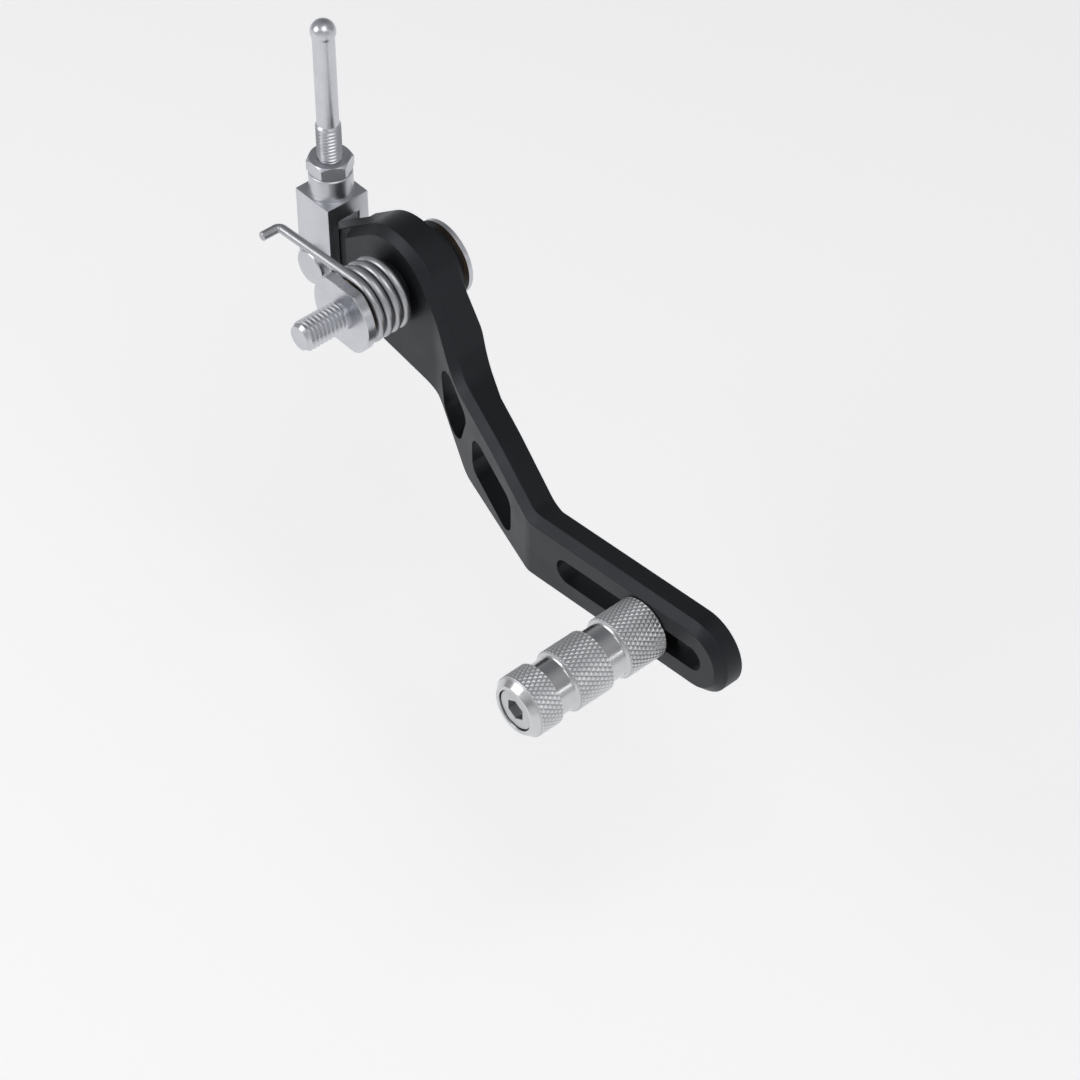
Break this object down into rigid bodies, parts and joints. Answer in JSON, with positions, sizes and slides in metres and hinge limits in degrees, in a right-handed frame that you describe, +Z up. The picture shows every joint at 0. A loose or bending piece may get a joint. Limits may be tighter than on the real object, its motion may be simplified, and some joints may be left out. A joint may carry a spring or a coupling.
{
  "type": "rear brake pedal",
  "caption": "Milled foot brake pedal with a knurled toe peg in a slot, a pivot pin with a return spring, and a clevis with a pushrod for the brake cylinder.",
  "frame": {"origin": "where the pivot axis meets the bracket's face, under the pivot pin's flange", "axes": "+X forward to the toe peg, +Y inboard along the pivot axis, +Z up, with the pedal at rest"},
  "size_m": [0.2088, 0.0915, 0.1306],
  "materials": {
    "black_anodised": "satin black anodised",
    "bare_aluminium": "turned and knurled, clear anodised",
    "stainless": "plain stainless",
    "zinc_steel": "bright zinc plate",
    "spring_zinc": "zinc plated spring wire",
    "spring_steel": "black phosphate",
    "bronze": "sintered bronze",
    "seal_rubber": "matt"
  },
  "bodies": {
    "pivot": {"pivot_pin": "zinc_steel", "outboard_dust_seal": "seal_rubber", "inboard_dust_seal": "seal_rubber", "pivot_washer": "zinc_steel", "pivot_circlip": "spring_steel"},
    "pedal": {"pedal_arm": "black_anodised", "outboard_bush": "bronze", "inboard_bush": "bronze", "return_spring": "spring_zinc"},
    "peg": {"toe_peg": "bare_aluminium", "peg_screw": "stainless", "peg_lock_washer": "stainless", "slot_nut": "stainless"},
    "rod": {"pushrod_clevis": "zinc_steel", "clevis_pin": "zinc_steel", "clevis_washer": "zinc_steel", "clevis_split_pin": "zinc_steel", "pushrod": "zinc_steel", "pushrod_lock_nut": "zinc_steel"}
  },
  "joints": [
    {"name": "pedal_press", "type": "hinge", "parent": "pivot", "child": "pedal", "pos_m": [0, 0, 0], "axis": [0, 1, 0], "range_deg": [0, 12], "stiffness_Nm_per_rad": 3, "springref_deg": -17.19},
    {"name": "clevis_swing", "type": "hinge", "parent": "pedal", "child": "rod", "pos_m": [-0.03571, 0.0262, -0.013], "axis": [0, 1, 0], "range_deg": [-14, 2]},
    {"name": "peg_shift", "type": "slide", "parent": "pedal", "child": "peg", "axis": [0.9938, 0, 0.1115], "range_m": [-0.034, 0.0194]}
  ],
  "couplings": [
    {"joint": "clevis_swing", "follows": "pedal_press", "ratio": -1}
  ]
}
